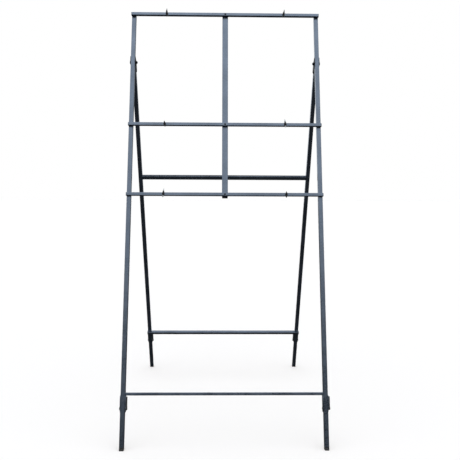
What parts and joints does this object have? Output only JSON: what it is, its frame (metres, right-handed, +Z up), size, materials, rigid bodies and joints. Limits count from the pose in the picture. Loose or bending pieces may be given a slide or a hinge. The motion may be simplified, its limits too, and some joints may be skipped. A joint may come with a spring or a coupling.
{
  "type": "folding panel stand",
  "caption": "Folding A-frame stand of square steel tube that holds a flat panel on horizontal rails with turn clips, with levelling feet.",
  "frame": {"origin": "on the floor, under the middle of the opened stand's box", "axes": "+Z up; -Y towards the person who faces the panel; +X to that person's right"},
  "size_m": [0.9145, 1.1478, 1.9742],
  "materials": {
    "frame_front": "satin powder coat, dark slate",
    "frame_rear": "satin powder coat, dark slate, in the stand's own shade",
    "plastic": "moulded, fine matte",
    "zinc": "bright zinc plate",
    "black_steel": "black oxide",
    "rubber": "matte"
  },
  "bodies": {
    "front_frame": {"front_leg_left": "frame_front", "front_leg_right": "frame_front", "top_rail": "frame_front", "middle_rail": "frame_front", "lower_rail": "frame_front", "centre_upright": "frame_front", "front_tie_bar": "frame_front", "upright_screws": "black_steel", "upright_nuts": "zinc", "upright_plugs": "plastic", "rail_plugs": "plastic", "front_leg_plugs": "plastic", "hinge_bolt_left": "frame_front", "hinge_bolt_right": "frame_front", "hinge_nuts": "black_steel", "hinge_washers": "black_steel", "clip_screws": "black_steel", "clip_nuts": "zinc", "clamp_bracket_front_left": "frame_front", "clamp_bracket_front_right": "frame_front", "spigot_front_left": "black_steel", "spigot_front_right": "black_steel", "clamp_bolts_front": "black_steel", "clamp_washers_front": "zinc"},
    "rear_frame": {"rear_leg_left": "frame_rear", "rear_leg_right": "frame_rear", "rear_upper_bar": "frame_rear", "rear_lower_bar": "frame_rear", "hinge_bracket_left": "black_steel", "hinge_bracket_right": "black_steel", "rear_leg_plugs": "plastic", "rear_bar_plugs": "plastic", "clamp_bracket_rear_left": "frame_rear", "clamp_bracket_rear_right": "frame_rear", "spigot_rear_left": "black_steel", "spigot_rear_right": "black_steel", "clamp_bolts_rear": "black_steel", "clamp_washers_rear": "zinc"},
    "foot_front_left": {"foot_tube_front_left": "frame_front", "foot_cap_front_left": "rubber"},
    "lever_front_left": {"clamp_lever_front_left": "plastic"},
    "foot_front_right": {"foot_tube_front_right": "frame_front", "foot_cap_front_right": "rubber"},
    "lever_front_right": {"clamp_lever_front_right": "plastic"},
    "foot_rear_left": {"foot_tube_rear_left": "frame_rear", "foot_cap_rear_left": "rubber"},
    "lever_rear_left": {"clamp_lever_rear_left": "plastic"},
    "foot_rear_right": {"foot_tube_rear_right": "frame_rear", "foot_cap_rear_right": "rubber"},
    "lever_rear_right": {"clamp_lever_rear_right": "plastic"},
    "clip_top_left": {"clip_top_left": "black_steel"},
    "clip_top_right": {"clip_top_right": "black_steel"},
    "clip_middle_left": {"clip_middle_left": "black_steel"},
    "clip_middle_right": {"clip_middle_right": "black_steel"},
    "clip_lower_left": {"clip_lower_left": "black_steel"},
    "clip_lower_right": {"clip_lower_right": "black_steel"}
  },
  "joints": [
    {"name": "rear_fold", "type": "hinge", "parent": "front_frame", "child": "rear_frame", "pos_m": [0, -0.12112, 1.711], "axis": [-1, 0, 0], "range_deg": [0, 34.86]},
    {"name": "foot_slide_front_left", "type": "slide", "parent": "front_frame", "child": "foot_front_left", "axis": [0, -0.2504, -0.9681], "range_m": [0, 0.025]},
    {"name": "lever_turn_front_left", "type": "hinge", "parent": "front_frame", "child": "lever_front_left", "pos_m": [-0.425, -0.52055, 0.16652], "axis": [1, 0, 0], "range_deg": [0, 170]},
    {"name": "foot_slide_front_right", "type": "slide", "parent": "front_frame", "child": "foot_front_right", "axis": [0, -0.2504, -0.9681], "range_m": [0, 0.025]},
    {"name": "lever_turn_front_right", "type": "hinge", "parent": "front_frame", "child": "lever_front_right", "pos_m": [0.455, -0.52055, 0.16652], "axis": [1, 0, 0], "range_deg": [0, 170]},
    {"name": "foot_slide_rear_left", "type": "slide", "parent": "rear_frame", "child": "foot_rear_left", "axis": [0, 0.36, -0.933], "range_m": [0, 0.025]},
    {"name": "lever_turn_rear_left", "type": "hinge", "parent": "rear_frame", "child": "lever_rear_left", "pos_m": [-0.425, 0.4905, 0.18846], "axis": [1, 0, 0], "range_deg": [0, 170]},
    {"name": "foot_slide_rear_right", "type": "slide", "parent": "rear_frame", "child": "foot_rear_right", "axis": [0, 0.36, -0.933], "range_m": [0, 0.025]},
    {"name": "lever_turn_rear_right", "type": "hinge", "parent": "rear_frame", "child": "lever_rear_right", "pos_m": [0.425, 0.4905, 0.18846], "axis": [1, 0, 0], "range_deg": [0, 170]},
    {"name": "clip_turn_top_left", "type": "hinge", "parent": "front_frame", "child": "clip_top_left", "pos_m": [-0.281, -0.08813, 1.95037], "axis": [0, -0.9681, 0.2504], "range_deg": [-90, 90]},
    {"name": "clip_turn_top_right", "type": "hinge", "parent": "front_frame", "child": "clip_top_right", "pos_m": [0.281, -0.08813, 1.95037], "axis": [0, -0.9681, 0.2504], "range_deg": [-90, 90]},
    {"name": "clip_turn_middle_left", "type": "hinge", "parent": "front_frame", "child": "clip_middle_left", "pos_m": [-0.281, -0.22684, 1.41401], "axis": [0, -0.9681, 0.2504], "range_deg": [-90, 90]},
    {"name": "clip_turn_middle_right", "type": "hinge", "parent": "front_frame", "child": "clip_middle_right", "pos_m": [0.281, -0.22684, 1.41401], "axis": [0, -0.9681, 0.2504], "range_deg": [-90, 90]},
    {"name": "clip_turn_lower_left", "type": "hinge", "parent": "front_frame", "child": "clip_lower_left", "pos_m": [-0.281, -0.3106, 1.09017], "axis": [0, -0.9681, 0.2504], "range_deg": [-90, 90]},
    {"name": "clip_turn_lower_right", "type": "hinge", "parent": "front_frame", "child": "clip_lower_right", "pos_m": [0.281, -0.3106, 1.09017], "axis": [0, -0.9681, 0.2504], "range_deg": [-90, 90]}
  ]
}
